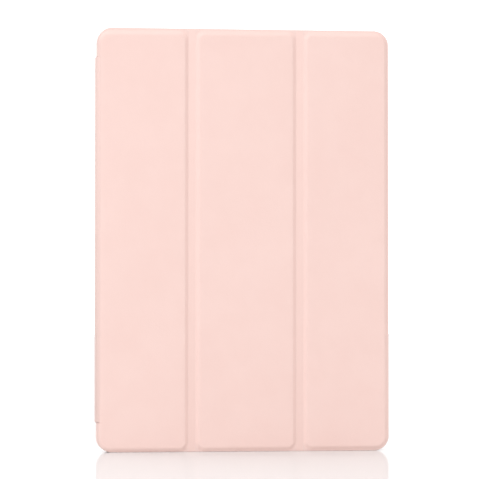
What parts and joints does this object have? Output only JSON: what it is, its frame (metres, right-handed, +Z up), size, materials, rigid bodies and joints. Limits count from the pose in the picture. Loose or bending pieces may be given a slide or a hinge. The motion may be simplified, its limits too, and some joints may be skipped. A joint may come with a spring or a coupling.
{
  "type": "tablet case",
  "caption": "Folio case for a tablet: hard back tray, flexible spine strip and a front cover of hinged panels that folds back into a triangular stand.",
  "frame": {"origin": "middle of the foot of the closed case, on the surface that it stands on", "axes": "+Z up the case's long side, +X across the cover from the spine to the free edge, +Y from the front cover to the back of the shell"},
  "size_m": [0.179, 0.013, 0.2562],
  "materials": {
    "cover_leather": "smooth fine-grained polyurethane leather, satin",
    "shell_plastic": "moulded hard plastic, fine satin texture",
    "microfibre": "brushed microfibre suede",
    "board_core": "plain stiff board",
    "magnet_metal": "nickel plated"
  },
  "bodies": {
    "shell": {"back_shell": "shell_plastic", "tail_skin": "cover_leather", "back_fold_skin": "cover_leather"},
    "spine": {"spine_skin": "cover_leather", "spine_board": "board_core", "spine_lining": "microfibre", "front_fold_skin": "cover_leather", "front_fold_lining": "microfibre"},
    "panel_1": {"panel_1_skin": "cover_leather", "panel_1_board": "board_core", "panel_1_lining": "microfibre", "stand_magnets": "magnet_metal", "crease_1_skin": "cover_leather", "crease_1_lining": "microfibre"},
    "panel_2": {"panel_2_skin": "cover_leather", "panel_2_board": "board_core", "panel_2_lining": "microfibre", "crease_2_skin": "cover_leather", "crease_2_lining": "microfibre"},
    "panel_3": {"panel_3_skin": "cover_leather", "panel_3_board": "board_core", "panel_3_lining": "microfibre", "closing_magnets": "magnet_metal", "wake_magnet": "magnet_metal"}
  },
  "joints": [
    {"name": "spine_back_fold", "type": "hinge", "parent": "shell", "child": "spine", "pos_m": [-0.0887, 0.0057, 0.1281], "axis": [0, 0, -1], "range_deg": [0, 125], "deforming": ["back_fold_skin"]},
    {"name": "spine_front_fold", "type": "hinge", "parent": "spine", "child": "panel_1", "pos_m": [-0.0887, -0.0043, 0.1281], "axis": [0, 0, -1], "range_deg": [0, 145], "deforming": ["front_fold_skin", "front_fold_lining"]},
    {"name": "crease_1", "type": "hinge", "parent": "panel_1", "child": "panel_2", "pos_m": [-0.0312, -0.0045, 0.1281], "axis": [0, 0, -1], "range_deg": [0, 120], "deforming": ["crease_1_skin", "crease_1_lining"]},
    {"name": "crease_2", "type": "hinge", "parent": "panel_2", "child": "panel_3", "pos_m": [0.0347, -0.0045, 0.1281], "axis": [0, 0, -1], "range_deg": [0, 122], "deforming": ["crease_2_skin", "crease_2_lining"]}
  ],
  "couplings": [
    {"joint": "crease_2", "follows": "crease_1", "ratio": 1.0167}
  ]
}
